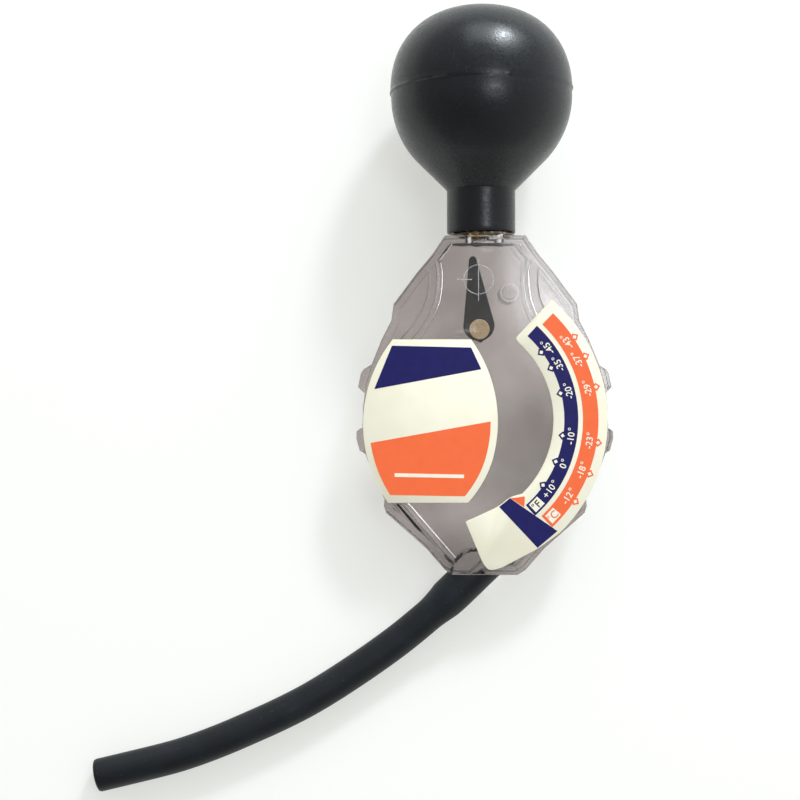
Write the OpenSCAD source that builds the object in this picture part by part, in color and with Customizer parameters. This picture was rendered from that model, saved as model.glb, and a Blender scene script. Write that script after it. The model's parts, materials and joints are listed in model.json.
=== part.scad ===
// Dial coolant hydrometer: rubber bulb, clear two-part housing, swinging pointer and suction hose.
// Millimetres. The tester lies on its back on z = 0, with its bulb towards +Y and its face upwards.
// The pieces are drawn flat, face towards +Z and lower edge on y = 0, and lie_down() tilts them to rest.

/* [Housing] */
// Width of the housing at its widest, without the lugs
body_w = 79.2; // [77:0.1:86]
// Height of the housing, from its lower edge to its top edge
body_h = 109.5; // [99:0.5:122]
// Thickness of the housing, from its back face to its front face
body_t = 18; // [17:0.5:22]
// Thickness of the flat front and back walls
face_t = 2; // [1.5:0.1:2.5]
// Thickness of the side wall
wall = 2.4; // [2.2:0.1:3]
// Width of the straight top edge
top_w = 26; // [24:0.5:30]
// Width of the straight lower edge
foot_w = 20.8; // [18:0.2:23]
// Width of the neck of the keyhole chamber
waist_w = 26; // [24:0.5:30]
// Place of the keyhole to the right of the middle
keyhole_x = -0.6; // [-1:0.1:0]
// Width of the rib that draws the keyhole
rib_w = 4.8; // [4:0.1:5.2]
// Height of the rib above the inside of each face
rib_h = 3.4; // [2.6:0.1:3.8]
// Width of the lower step along the outside of the rib
rib_step_w = 2.7; // [1.6:0.1:3]
// Height of the lower step above the inside of each face
rib_step_h = 1.7; // [1:0.1:2.4]
// Width of the tongue in the joint of the two shells
tongue_w = 0.8; // [0.6:0.1:1]
// Height of the tongue
tongue_h = 1; // [0.6:0.1:1.6]
// Clearance of the tongue in its groove
tongue_fit = 0.1; // [0.05:0.05:0.15]
// Thickness of the lugs on the sides
lug_t = 12; // [8:0.5:15]
// How far the lugs stand out past the side wall
lug_out = 2; // [1:0.1:3]

/* [Spigots] */
// Outer diameter of the spigot that carries the bulb
bulb_spigot_d = 17; // [15:0.2:17.6]
// Length of the bulb spigot above the housing
bulb_spigot_l = 13; // [9:0.5:16]
// Wall of the bulb spigot
bulb_spigot_wall = 2; // [1.6:0.1:3]
// Diameter of the hose spigot between its barbs
hose_spigot_d = 7.2; // [6.4:0.1:7.4]
// How far a barb stands out from the hose spigot
barb_h = 0.4; // [0.2:0.05:0.5]
// Length of one barb
barb_l = 3.5; // [3:0.1:4]
// Diameter of the passage through the hose spigot
hose_passage_d = 4; // [3.4:0.1:5]
// Length of the hose spigot outside the housing
hose_spigot_l = 16; // [14:0.5:18]
// Angle of the hose spigot below the lower edge
hose_angle = 44; // [40:1:50]
// Place of the hose spigot along the lower edge, from the middle
hose_x = -3; // [-5:0.5:-1]
// Radius of the solid boss inside the lower edge
boss_r = 7.5; // [6.5:0.1:8.5]

/* [Bulb] */
// Diameter of the bulb
bulb_d = 59.2; // [56:0.2:63]
// Height of the flattened crown above the upper edge of the belt
crown_h = 27.9; // [26:0.1:30]
// Width of the straight belt round the middle of the bulb
belt_w = 1.2; // [1:0.1:4]
// Wall of the bulb
bulb_wall = 3; // [2.4:0.1:4]
// Outer diameter of the bulb's neck
neck_d = 22.4; // [21.5:0.1:25]
// Straight length of the bulb's neck
neck_l = 13.6; // [10:0.2:18]
// Clearance between the neck's bore and its spigot, on the radius
neck_fit = 0.15; // [0.05:0.05:0.3]
// Gap between the housing and the bulb's neck, which the sealant fills
neck_gap = 2; // [1.2:0.1:3]
// Diameter of the sealant bead
sealant_d = 20.4; // [19:0.1:22]
// Gap between the sealant and the end of the neck
sealant_gap = 0.2; // [0.1:0.05:0.4]

/* [Pointer] */
// Place of the pivot to the right of the middle
pivot_x = -1.5; // [-3:0.1:0]
// Distance of the pivot below the top edge
pivot_drop = 30; // [29:0.1:31]
// Diameter of the pointer's hub
hub_d = 10.1; // [9.8:0.1:11]
// Distance of the hub's middle from the pivot, towards the tip
hub_off = 1.3; // [0.8:0.1:1.4]
// Distance from the hub's middle to the middle of the rounded tip
pointer_l = 21.5; // [19:0.1:22]
// Diameter of the rounded tip
tip_d = 2.4; // [1.8:0.1:3]
// Thickness of the pointer
pointer_t = 2.6; // [2:0.1:3]
// Height of the hub's collar behind the pointer
collar_h = 0.8; // [0.5:0.1:1.2]
// Wall of the collar round the pin
collar_wall = 1.6; // [1:0.1:2.4]
// Lean of the pointer at rest, anticlockwise from straight up
pointer_lean = 5.5; // [0:0.5:12]
// Diameter of the brass disc in the hub
disc_d = 6.6; // [6:0.1:6.8]
// How far the disc stands out of the hub
disc_proud = 0.3; // [0.1:0.1:0.6]
// Diameter of the pivot pin
pin_d = 3; // [2.5:0.1:3.4]
// Clearance round the pin, on the radius
pin_fit = 0.05; // [0.02:0.01:0.1]
// Diameter of the boss that holds the pin
pin_boss_d = 6.4; // [5.6:0.1:7]
// Depth to which the pin is pressed into the back wall
pin_seat = 1; // [0.5:0.1:1.2]
// Diameter of the boss in the front wall that keeps the pointer on its pin
keeper_d = 3; // [2:0.1:5]
// Running gap between the pointer and the bosses before and behind it
end_play = 0.3; // [0.2:0.05:0.5]
// Distance of the stop post to the right of the pivot
stop_dx = 9.4; // [9.2:0.1:10.5]
// Distance of the stop post above the pivot
stop_dy = 11.6; // [11:0.1:12.5]
// Diameter of the stop post at the back wall
stop_foot_d = 6.3; // [5.5:0.1:6.5]
// Diameter of the stop post at the front wall
stop_top_d = 3.9; // [3:0.1:4.5]

/* [Labels] */
// Thickness of the label film
label_t = 0.25; // [0.15:0.05:0.4]
// Margin between the labels and the widest part of the housing
label_margin = 0.2; // [0.1:0.1:1.2]
// Radius of the left edge of the name label
name_left_r = 43.8; // [40:0.2:46]
// Radius of the right edge of the name label
name_right_r = 45.1; // [40:0.2:46]
// Width of the name label
name_w = 43.4; // [40:0.2:44]
// Height of the name label
name_h = 52.6; // [48:0.2:54]
// Height of the middle of the name label above the lower edge
name_y = 49.6; // [48:0.2:52]
// Distance of the middle of the left edge's arc below the label's middle
name_left_drop = 1; // [0:0.2:2]
// Distance of the middle of the right edge's arc below the label's middle
name_right_drop = 0.2; // [0:0.2:2]
// Radius of the scale label's outer edge
scale_outer_r = 50.6; // [49:0.2:51]
// Radius of the scale label's inner edge
scale_inner_r = 33.1; // [32:0.1:36]
// Height of the scale's centre above the lower edge
scale_y = 50; // [49:0.2:51]
// Angle of the upper end of the scale label above its centre
scale_top_angle = 51; // [44:1:51]
// Angle of the lower end of the scale's arc below its centre
scale_end_angle = 46; // [43:1:47]

/* [Hose] */
// Outer diameter of the hose
hose_d = 10.6; // [10:0.1:12]
// Bore of the hose
hose_bore_d = 6.4; // [6:0.1:7]
// Wall of the hose where it is stretched over the spigot
stretched_wall = 2.2; // [2:0.1:2.6]
// Clearance between the hose and the barbs, on the radius
hose_fit = 0.3; // [0.2:0.05:0.5]
// Sides of the swept part of the hose
hose_sides = 12; // [8:1:12]

/* [Hidden] */
$fn = 72;
half_w = body_w / 2;
half_t = body_t / 2;
inner_z = half_t - face_t;      // the inside of the front wall, and below zero of the back wall
past = 1;                       // how far a cutting solid reaches past what it cuts

// Right half of the housing's outline, from the top edge down to the lower edge
outline_half = [
    [top_w / 2, body_h], [half_w - 22.6, body_h - 6], [half_w - 17.6, body_h - 12],
    [half_w - 10, body_h - 22.2], [half_w - 9.3, body_h - 27.5], [half_w - 6.2, body_h - 33.5],
    [half_w - 2.9, body_h - 41.7], [half_w - 1, body_h - 48.5], [half_w - 0.2, (body_h - 1.5) / 2], [half_w, 48],
    [half_w - 0.6, 40], [half_w - 2.7, 34], [half_w - 7.1, 24.4], [half_w - 6.9, 22.2],
    [half_w - 7.6, 20], [half_w - 14.4, 14], [half_w - 20.6, 8.5], [foot_w / 2 + 2.6, 1.6], [foot_w / 2, 0]];

// Right half of the keyhole, along the chamber side of its rib
waist = waist_w / 2;
keyhole_half = [
    [waist - 3.6, body_h - 2.3], [waist + 0.6, body_h - 7.7], [waist, body_h - 11.5],
    [waist, body_h - 16], [waist + 0.7, body_h - 21], [waist + 2.6, body_h - 26],
    [waist + 6.4, body_h - 32.2], [half_w - 15.2, body_h - 38], [half_w - 10.3, body_h - 43.5],
    [half_w - 7.2, body_h - 50], [half_w - 6, (body_h - 5.5) / 2], [half_w - 6, 43], [half_w - 8, 35],
    [half_w - 11.1, 27.3], [half_w - 16.1, 22.5], [8.5, 5.2]];

// Right-hand lugs, upper and lower: the side that lies in the wall, then the side that stands out
lugs = [
    [[half_w - 3, body_h - 41.5], [half_w - 1 + lug_out / 3, body_h - 43.1],
     [half_w - 0.4 + lug_out / 2, body_h - 44.5], [half_w - 0.5 + lug_out, body_h - 48.9],
     [half_w - 0.8 + lug_out / 4, body_h - 50.7], [half_w - 3, body_h - 51.5]],
    [[half_w - 2, 48], [half_w + lug_out / 2, 47.1], [half_w + lug_out, 46.2], [half_w + lug_out, 43.8],
     [half_w - 1 + lug_out, 40], [half_w - 0.9, 38.8], [half_w - 3, 38]]];

function mirrored(half) = concat(half, [for (i = [len(half) - 1 : -1 : 0]) [-half[i].x, half[i].y]]);
function unit(v) = v / norm(v);
function inward(a, b) = let (d = unit(b - a)) [d.y, -d.x];

// A clockwise outline moved inwards by a distance, with its corners mitred
function inset(points, distance) = [
    for (i = [0 : len(points) - 1])
        let (n = len(points), here = points[i],
             before = inward(points[(i + n - 1) % n], here), after = inward(here, points[(i + 1) % n]))
        here + distance * (before + after) / (1 + before * after)];

function arc(centre, r, from, to, steps = 24) = [
    for (i = [0 : steps]) let (a = from + (to - from) * i / steps) centre + r * [cos(a), sin(a)]];

outline = mirrored(outline_half);
keyhole = [for (p = mirrored(keyhole_half)) p + [keyhole_x, 0]];

// Rest on the table: the lower half of the bulb and the lower back edge both touch z = 0
bulb_r = bulb_d / 2;
neck_r = neck_d / 2;
neck_y = body_h + neck_gap;
cone_angle = 45;                // how far below the belt the round lower half turns into the straight cone
function cone_drop(r, mouth_r) = r * sin(cone_angle) + (r * cos(cone_angle) - mouth_r) / tan(cone_angle);
lower_y = neck_y + neck_l + cone_drop(bulb_r, neck_r);
upper_y = lower_y + belt_w;
tilt = asin(bulb_r / norm([lower_y, half_t])) - atan(half_t / lower_y);

// The origin lies under the middle of the part, between the tip of the hose spigot and the crown
spigot_tip_r = hose_spigot_d / 2;
spigot_slope = sin(hose_angle) * cos(tilt);
plan_low = -hose_spigot_l * spigot_slope - spigot_tip_r * sqrt(1 - pow(spigot_slope, 2));
crown_power = 2.25;
crown_dual = crown_power / (crown_power - 1);
crown_reach = pow(pow(crown_h * cos(tilt), crown_dual) + pow(bulb_r * sin(tilt), crown_dual), 1 / crown_dual);
plan_high = upper_y * cos(tilt) + crown_reach;
plan_middle = (plan_low + plan_high) / 2;

module lie_down() translate([0, -plan_middle, half_t * cos(tilt)]) rotate([tilt, 0, 0]) children();
function lie(p) = [p.x, p.y * cos(tilt) - p.z * sin(tilt) - plan_middle,
                   p.y * sin(tilt) + p.z * cos(tilt) + half_t * cos(tilt)];

// Bulb: an upper half with a flattened crown, a straight belt, a round lower half, a cone and a neck
neck_bore_r = bulb_spigot_d / 2 + neck_fit;
arc_steps = 14;
function crown_point(a, w) = [(bulb_r - w) * pow(sin(a), 2 / crown_power),
                              upper_y + (crown_h - w) * pow(cos(a), 2 / crown_power)];
function bulb_profile(w, mouth_r, end_y) = let (r = bulb_r - w)
    concat([for (i = [0 : arc_steps]) crown_point(90 * i / arc_steps, w)],
           [for (i = [0 : arc_steps / 2]) let (a = cone_angle * i / (arc_steps / 2)) [r * cos(a), lower_y - r * sin(a)]],
           [[mouth_r, lower_y - cone_drop(r, mouth_r)], [mouth_r, end_y], [0, end_y]]);

// Pointer: the hub and the tip share two straight tangents
pivot_y = body_h - pivot_drop;
pointer_z = pointer_t / 2;
hub_r = hub_d / 2;
tip_r = tip_d / 2;
flank = asin((hub_r - tip_r) / pointer_l);
pointer_outline = concat(arc([0, pointer_l], tip_r, flank, 180 - flank, 12),
                         arc([0, 0], hub_r, 180 - flank, 360 + flank, 40));
tail_r = 1;
collar_r = pin_d / 2 + collar_wall;
disc_floor = 0;                 // the disc's seat, halfway up the hub
pin_end_gap = 0.15;             // between the end of the pin and the disc

// Scale: the arcs share one centre, which the outer edge puts just inside the side wall
scale_centre = [half_w - label_margin - scale_outer_r, scale_y];
scale_end = scale_centre + scale_outer_r * [cos(-scale_end_angle), sin(-scale_end_angle)];
end_panel = [[-6.7, -5.4], [-21.1, -11.7], [-23.1, -11.7], [-24.4, -10.3], [-30, 3.2], [-19.1, 8.1], [-15.4, 11.4]];
scale_label_outline = concat(
    arc(scale_centre, scale_outer_r, scale_top_angle, -scale_end_angle),
    [for (p = end_panel) scale_end + p],
    arc(scale_centre, scale_inner_r, -scale_end_angle, scale_top_angle - 2),
    [scale_centre + (scale_inner_r + 1) * [cos(scale_top_angle), sin(scale_top_angle)]]);

// Hose: the route's points on the table, after the straight stretch on the spigot
hose_r = hose_d / 2;
hose_bore_r = hose_bore_d / 2;
hose_dir = [-cos(hose_angle), -sin(hose_angle), 0];
stretched_bore = hose_spigot_d / 2 + barb_h + hose_fit;
stretched_r = stretched_bore + stretched_wall;
hose_in = 8;
hose_start = [for (along = [-hose_in, 0, 5, 10, hose_spigot_l]) lie([hose_x, 0, 0] + along * hose_dir)];
hose_rest = [[-25, -104.8, 6.1], [-33, -110.8, 5.6], [-41, -116.3, 5.4], [-49.5, -121.8, 5.4], [-58, -126.8, 5.4],
             [-67, -131.3, 5.4], [-76, -135.3, 5.4], [-85.5, -139.3, 5.4], [-95, -142.8, 5.4], [-104.5, -145.6, 5.4]];
hose_end = [-126, -150.7, 5.4];
hose_points = concat(hose_start, hose_rest);
hose_taper = [1, 1, 1, 0.85, 0.45];
corner_in = 0.05;               // how far the corners of the swept part lie inside the round end's surfaces

module plate(points, low, high) translate([0, 0, low]) linear_extrude(high - low) polygon(points);
module upright() rotate([-90, 0, 0]) children();

module half_space(side) {
    reach = body_h + bulb_spigot_l + hose_spigot_l;
    translate([-reach, -reach, side > 0 ? 0 : -reach]) cube([2 * reach, 3 * reach, reach]);
}

module on_hose_spigot() translate([hose_x, 0, 0]) rotate([0, 0, 180 + hose_angle]) rotate([0, 90, 0]) children();

module hose_spigot() {
    on_hose_spigot() {
        translate([0, 0, -wall]) cylinder(d = hose_spigot_d, h = hose_spigot_l + wall);
        for (i = [0 : 2])
            translate([0, 0, hose_spigot_l - 1 - (i + 1) * barb_l])
                cylinder(r1 = hose_spigot_d / 2 + barb_h, r2 = hose_spigot_d / 2, h = barb_l);
    }
}

module housing_form() {
    plate(outline, -half_t, half_t);
    for (lug = lugs) for (side = [0, 1]) mirror([side, 0, 0]) plate(lug, -lug_t / 2, lug_t / 2);
    upright() translate([0, 0, body_h - wall]) cylinder(d = bulb_spigot_d, h = wall + bulb_spigot_l);
    hose_spigot();
}

// A rib round the keyhole on the inside of both faces
module rib(width, height) difference() {
    plate(inset(keyhole, -width), -half_t, half_t);
    plate(keyhole, -half_t - past, half_t + past);
    plate(inset(keyhole, -width - past), height - inner_z, inner_z - height);
}

// The chamber, with the keyhole ribs and the boss of the hose spigot left standing in it
module chamber() {
    difference() {
        plate(inset(outline, wall), -inner_z, inner_z);
        rib(rib_w, rib_step_h);
        rib(rib_w - rib_step_w, rib_h);
        translate([hose_x, 0, -half_t]) cylinder(r = boss_r, h = body_t);
    }
}

module passages() {
    upright() translate([0, 0, body_h - wall - past])
        cylinder(r = bulb_spigot_d / 2 - bulb_spigot_wall, h = wall + bulb_spigot_l + 2 * past);
    on_hose_spigot() translate([0, 0, -boss_r - wall]) cylinder(d = hose_passage_d, h = boss_r + wall + hose_spigot_l + past);
}

// A ring in the middle of the side wall, for the tongue or, with its clearance, for the groove
module joint_ring(gap, height) {
    middle = wall / 2;
    difference() {
        plate(inset(outline, middle - tongue_w / 2 - gap), 0, height);
        plate(inset(outline, middle + tongue_w / 2 + gap), -past, height + past);
        translate([hose_x, 0, -past]) cylinder(r = boss_r + past, h = height + 2 * past);
    }
}

module bulb() color("#2d3234") upright() difference() {
    rotate_extrude() polygon(bulb_profile(0, neck_r, neck_y));
    rotate_extrude() polygon(bulb_profile(bulb_wall, neck_bore_r, neck_y - past));
}

module neck_sealant() color("#8a6f45") upright() difference() {
    translate([0, 0, body_h]) cylinder(d = sealant_d, h = neck_gap - sealant_gap);
    translate([0, 0, body_h - past]) cylinder(d = bulb_spigot_d, h = neck_gap + 2 * past);
}

module front_shell() color("#b9adb1", 0.45) difference() {
    union() {
        difference() {
            intersection() { housing_form(); half_space(1); }
            chamber();
        }
        translate([pivot_x, pivot_y, pointer_z + disc_proud + end_play])
            cylinder(d = keeper_d, h = half_t - face_t / 2 - pointer_z - disc_proud - end_play);
    }
    passages();
    joint_ring(tongue_fit, tongue_h + tongue_fit);
}

module back_shell() color("#b0a4a9", 0.45) difference() {
    union() {
        difference() {
            intersection() { housing_form(); half_space(-1); }
            chamber();
        }
        difference() { joint_ring(0, tongue_h); passages(); }
        translate([pivot_x, pivot_y, -half_t + face_t / 2])
            cylinder(d = pin_boss_d, h = half_t - face_t / 2 - pointer_z - collar_h - end_play);
        translate([pivot_x + stop_dx, pivot_y + stop_dy, -inner_z])
            cylinder(d1 = stop_foot_d, d2 = stop_top_d, h = 2 * inner_z);
    }
    passages();
    translate([pivot_x, pivot_y, -half_t + pin_seat]) cylinder(d = pin_d, h = half_t);
}

module pivot_pin() color("silver") translate([pivot_x, pivot_y, -half_t + pin_seat])
    cylinder(d = pin_d, h = half_t - pin_seat + disc_floor - pin_end_gap);

module pointer() color("#26282a") translate([pivot_x, pivot_y, 0]) rotate(pointer_lean) difference() {
    union() {
        translate([0, hub_off, 0]) plate(pointer_outline, -pointer_z, pointer_z);
        translate([0, hub_off + tail_r / 2 - hub_r, -pointer_z]) cylinder(r = tail_r, h = pointer_t);
        translate([0, 0, -pointer_z - collar_h]) cylinder(r = collar_r, h = collar_h + pointer_z / 2);
    }
    translate([0, 0, -pointer_z - collar_h - past]) cylinder(r = pin_d / 2 + pin_fit, h = half_t);
    translate([0, 0, disc_floor]) cylinder(d = disc_d, h = pointer_t);
}

module pointer_disc() color("#bfa67e") translate([pivot_x, pivot_y, disc_floor])
    cylinder(d = disc_d, h = pointer_z + disc_proud - disc_floor);

module name_label() color("#f6efd2") {
    left = -half_w + label_margin;
    right = left + name_w;
    translate([0, 0, half_t]) intersection() {
        translate([left + name_left_r, name_y - name_left_drop, 0]) cylinder(r = name_left_r, h = label_t, $fn = 144);
        translate([right - name_right_r, name_y - name_right_drop, 0]) cylinder(r = name_right_r, h = label_t, $fn = 144);
        translate([left - past, name_y - name_h / 2, 0]) cube([name_w + 3 * past, name_h, label_t]);
    }
}

module scale_label() color("#f6efd2") plate(scale_label_outline, half_t, half_t + label_t);

// One ring of the hose: points round p, square to the heading
function ring(p, heading, r) = let (side = unit(cross([0, 0, 1], heading)), up = cross(heading, side))
    [for (i = [0 : hose_sides - 1]) let (a = 360 * i / hose_sides) p + r * (cos(a) * side + sin(a) * up)];
function heading(i) = i == 0 ? unit(hose_points[1] - hose_points[0])
    : i == len(hose_points) - 1 ? unit(hose_end - hose_points[i])
    : unit(hose_points[i + 1] - hose_points[i - 1]);
function taper(i) = i < len(hose_taper) ? hose_taper[i] : 0;

module hose_sweep() {
    last = len(hose_points) - 1;
    outer = [for (i = [0 : last])
        each ring(hose_points[i], heading(i), hose_r - corner_in + taper(i) * (stretched_r - hose_r))];
    inner = [for (i = [0 : last])
        each ring(hose_points[i], heading(i), hose_bore_r - corner_in + taper(i) * (stretched_bore - hose_bore_r))];
    n = hose_sides;
    shift = len(outer);
    skin = [for (i = [0 : last - 1], k = [0 : n - 1]) let (a = i * n + k, b = i * n + (k + 1) % n)
        each [[a, a + n, b], [b, a + n, b + n]]];
    lining = [for (f = skin) [f[0] + shift, f[2] + shift, f[1] + shift]];
    ends = [for (at = [0, last], k = [0 : n - 1]) let (a = at * n + k, b = at * n + (k + 1) % n)
        each at == 0 ? [[a, b, a + shift], [b, b + shift, a + shift]]
                     : [[a, a + shift, b], [b, a + shift, b + shift]]];
    polyhedron(concat(outer, inner), concat(skin, lining, ends));
}

module hose() color("#24282a") {
    difference() {
        hose_sweep();
        lie_down() translate([-half_w, 0, -half_t * 2]) cube([body_w, 3 * hose_in, body_t * 2]);
    }
    last = hose_points[len(hose_points) - 1];
    run = hose_end - last;
    translate(last) rotate([0, 90, atan2(run.y, run.x)]) difference() {
        cylinder(r = hose_r, h = norm(run));
        translate([0, 0, -past]) cylinder(r = hose_bore_r, h = norm(run) + 2 * past);
    }
}

lie_down() bulb();
lie_down() neck_sealant();
lie_down() front_shell();
lie_down() back_shell();
lie_down() pivot_pin();
lie_down() pointer();
lie_down() pointer_disc();
lie_down() name_label();
lie_down() scale_label();
hose();
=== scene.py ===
# Dial coolant hydrometer, dressed for its picture. Metres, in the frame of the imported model.
# The pieces are drawn flat in millimetres, x right, y up from the housing's lower edge, z out of the face,
# and place() lays them down as the model lies.
import json

import bmesh
import bpy
import numpy as np
from mathutils import Matrix, Vector


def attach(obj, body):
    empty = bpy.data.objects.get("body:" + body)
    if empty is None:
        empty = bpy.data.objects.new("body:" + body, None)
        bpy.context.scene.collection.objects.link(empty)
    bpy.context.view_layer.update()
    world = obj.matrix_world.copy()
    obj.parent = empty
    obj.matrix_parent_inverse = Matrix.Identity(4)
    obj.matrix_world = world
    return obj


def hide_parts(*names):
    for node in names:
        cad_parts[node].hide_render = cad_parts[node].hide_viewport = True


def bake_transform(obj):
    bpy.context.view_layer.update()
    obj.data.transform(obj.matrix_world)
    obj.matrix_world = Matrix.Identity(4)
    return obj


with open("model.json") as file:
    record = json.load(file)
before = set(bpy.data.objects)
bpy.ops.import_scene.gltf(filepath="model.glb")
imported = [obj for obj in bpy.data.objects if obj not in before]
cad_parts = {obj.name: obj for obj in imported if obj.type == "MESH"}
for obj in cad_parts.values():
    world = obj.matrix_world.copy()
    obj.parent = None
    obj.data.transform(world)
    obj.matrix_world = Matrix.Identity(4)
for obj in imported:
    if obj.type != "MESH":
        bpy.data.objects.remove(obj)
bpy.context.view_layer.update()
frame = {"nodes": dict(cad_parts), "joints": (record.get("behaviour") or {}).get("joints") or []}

mm = 0.001
weld = 1e-7  # points closer than this, in metres, are one point
housing = {"halfThickness": 9.0, "labelThickness": 0.25, "labelEdge": 0.08, "pivot": (-1.5, 79.5)}
swing = next(j for j in frame["joints"] if j["name"] == "pointer_swing")
faceOut = np.array(swing["axis"])  # out of the face
faceUp = np.cross(faceOut, (1.0, 0.0, 0.0))  # up the face, towards the bulb
flatAxes = np.array([(1.0, 0.0, 0.0), faceUp, faceOut])
pivotFlat = np.array([*housing["pivot"], 0.0])


def place(points):
    # from the flat drawing in mm to the model in metres, tilted with the housing about the pointer's pivot
    return (np.asarray(points, float) - pivotFlat) * mm @ flatAxes + np.array(swing["pos_m"])


# helpers
def smooth(t):
    # from 0 to 1 with a level start and end: three times t squared, less two times t cubed
    t = np.clip(t, 0.0, 1.0)
    return t * t * (3 - 2 * t)


def inScene(name, data):
    thing = bpy.data.objects.new(name, data)
    bpy.context.scene.collection.objects.link(thing)
    return thing


def faceOutwards(mesh, merge=True, dissolve=True):
    # closes seams and poles, drops faces without area, and turns every face outwards
    bm = bmesh.new()
    bm.from_mesh(mesh)
    if merge:
        bmesh.ops.remove_doubles(bm, verts=bm.verts, dist=weld)
    if dissolve:
        bmesh.ops.dissolve_degenerate(bm, edges=bm.edges, dist=weld)
    bmesh.ops.recalc_face_normals(bm, faces=bm.faces)
    bm.to_mesh(mesh)
    bm.free()


def shadeSmooth(mesh, sharpAngle):
    mesh.polygons.foreach_set("use_smooth", [True] * len(mesh.polygons))
    mesh.set_sharp_from_angle(angle=np.radians(sharpAngle))


def finishMesh(name, verts, faces, material, sharpAngle=40.0, merge=True):
    mesh = bpy.data.meshes.new(name)
    mesh.from_pydata(verts.tolist(), [], faces)
    faceOutwards(mesh, merge, dissolve=merge)
    shadeSmooth(mesh, sharpAngle)
    mesh.materials.append(material)
    return inScene(name, mesh)


def gridFaces(rows, columns, wrapRows=False, wrapColumns=False):
    # quads between neighbouring points of a grid, with the last row or column joined to the first where it
    # wraps
    r = np.arange(rows if wrapRows else rows - 1)
    c = np.arange(columns if wrapColumns else columns - 1)
    i, j = np.meshgrid(r, c, indexing="ij")
    i2, j2 = (i + 1) % rows, (j + 1) % columns
    corners = [i * columns + j, i2 * columns + j, i2 * columns + j2, i * columns + j2]
    return np.stack(corners, -1).reshape(-1, 4)


def gridPiece(name, grid, material, wrapRows=False, wrapColumns=False, caps=False, **keys):
    rows, columns = grid.shape[:2]
    faces = gridFaces(rows, columns, wrapRows, wrapColumns).tolist()
    if caps:  # the first and last row each close with one face
        faces += [list(range(columns)), list(range((rows - 1) * columns, rows * columns))]
    return finishMesh(name, place(grid.reshape(-1, 3)), faces, material, **keys)


def flatRing(name, centre, radii, low, high, material, steps):
    # a flat ring: its section's four corners carried round
    section = np.array([(radii[0], low), (radii[1], low), (radii[1], high), (radii[0], high)])
    a = np.linspace(0, 2 * np.pi, steps, endpoint=False)[:, None]
    radius, height = section[:, 0], section[:, 1]
    grid = np.stack([centre[0] + radius * np.cos(a), centre[1] + radius * np.sin(a), height + 0 * a], -1)
    return gridPiece(name, grid, material, wrapRows=True, wrapColumns=True)


def plateGrid(outline, low, high, edge=0.0):
    # an outline stood up as a closed band: rows of (height, distance in from the outline), the last two
    # round the rim
    outline = np.asarray(outline, float)
    rows = [(low, 0.0), (high, 0.0)]
    if edge:
        rows = [(low, 0.0), (high - edge, 0.0), (high - 0.3 * edge, 0.3 * edge), (high, edge)]
    normal = outlineNormals(outline)
    return np.stack([np.column_stack([outline - normal * inset, np.full(len(outline), z)])
                     for z, inset in rows])


def outlineNormals(outline):
    # outward normals of a closed outline, from the chord between each point's neighbours
    chord = np.roll(outline, -1, 0) - np.roll(outline, 1, 0)
    normal = np.column_stack([chord[:, 1], -chord[:, 0]])
    normal /= np.linalg.norm(normal, axis=1)[:, None]
    x, y = outline.T
    turn = np.sum(x * np.roll(y, -1) - np.roll(x, -1) * y)
    return normal if turn > 0 else -normal


def platePiece(name, outline, low, high, material, edge=0.0):
    return gridPiece(name, plateGrid(outline, low, high, edge), material, wrapColumns=True, caps=True)


def roundCorners(points, radius, steps=6, closed=True):
    # each corner becomes a quadratic curve between two points that lie a radius away along its sides, or not
    # quite half the shorter side; an open path keeps its first and last point
    points = np.asarray(points, float)
    before, after = np.roll(points, 1, 0) - points, np.roll(points, -1, 0) - points
    lengthBefore, lengthAfter = np.linalg.norm(before, axis=1), np.linalg.norm(after, axis=1)
    cut = np.minimum(radius, 0.45 * np.minimum(lengthBefore, lengthAfter))
    start = points + before * (cut / lengthBefore)[:, None]
    end = points + after * (cut / lengthAfter)[:, None]
    t = np.linspace(0, 1, steps)[None, :, None]
    curve = (1 - t) ** 2 * start[:, None] + 2 * t * (1 - t) * points[:, None] + t ** 2 * end[:, None]
    if closed:
        return curve.reshape(-1, 2)
    return np.vstack([points[:1], curve[1:-1].reshape(-1, 2), points[-1:]])


def arcPoints(centre, radius, start, end, steps):
    angle = np.radians(np.linspace(start, end, steps))
    return np.column_stack([centre[0] + radius * np.cos(angle), centre[1] + radius * np.sin(angle)])


def onHousing(piece):
    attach(piece, "housing")


# materials
def linear(code):
    # sRGB hex to linear RGB with full alpha
    c = np.array([int(code[i:i + 2], 16) for i in (1, 3, 5)]) / 255
    c = np.where(c <= 0.04045, c / 12.92, ((c + 0.055) / 1.055) ** 2.4)
    return (*c.tolist(), 1.0)


def addNode(tree, kind, settings=None, inputs=None, links=None, stops=()):
    # one node, with its properties, its socket values, its incoming links {input: (node, output)}, and a
    # ramp's stops, each a place with a hex colour or a grey
    node = tree.nodes.new("ShaderNode" + kind)
    for key, value in (settings or {}).items():
        setattr(node, key, value)
    for key, value in (inputs or {}).items():
        node.inputs[key].default_value = value
    for key, (source, output) in (links or {}).items():
        tree.links.new(source.outputs[output], node.inputs[key])
    if stops:
        elements = node.color_ramp.elements
        while len(elements) < len(stops):
            elements.new(0.5)
        for element, (position, colour) in zip(elements, stops):
            element.position = position
            element.color = linear(colour) if isinstance(colour, str) else (colour, colour, colour, 1.0)
    return node


def newMaterial(name):
    # an empty material, its tree, and the link that puts a pattern on the piece's own coordinates
    material = bpy.data.materials.new(name)
    material.use_nodes = True
    tree = material.node_tree
    tree.nodes.clear()
    return material, tree, {"Vector": (addNode(tree, "TexCoord"), "Object")}


def perMetre(size):
    # noise scale that gives features of about this size in millimetres
    return 1.0 / (size * mm)


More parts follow.
